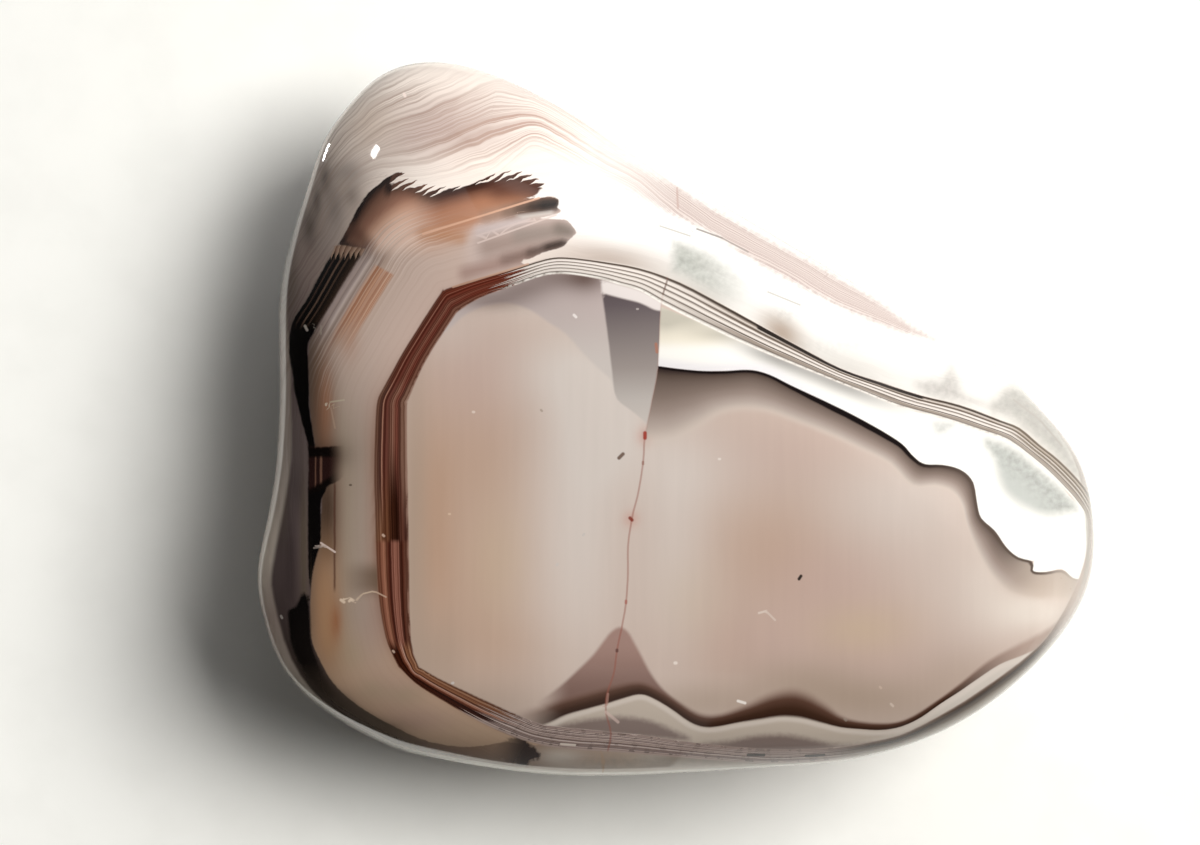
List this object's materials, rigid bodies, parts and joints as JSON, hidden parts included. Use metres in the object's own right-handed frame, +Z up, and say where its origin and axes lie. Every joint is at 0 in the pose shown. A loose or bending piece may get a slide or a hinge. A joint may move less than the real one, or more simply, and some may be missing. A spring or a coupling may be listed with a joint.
{
  "type": "polished botswana agate",
  "caption": "Tumbled and polished banded agate, a rounded wedge-shaped stone with a broad low crown, a long slope along one side and a flat underside to rest on.",
  "frame": {"origin": "On the surface the stone rests on, under the middle of its length and width", "axes": "+Z up from the resting face towards the broad crown, +X along the stone's length towards its blunt tip, +Y towards the long slope"},
  "size_m": [0.0496, 0.0424, 0.0215],
  "materials": {
    "polished_agate": "High polish over cream, pink-grey and brown fortification bands"
  },
  "bodies": {
    "root": {"agate": "polished_agate"}
  },
  "joints": []
}
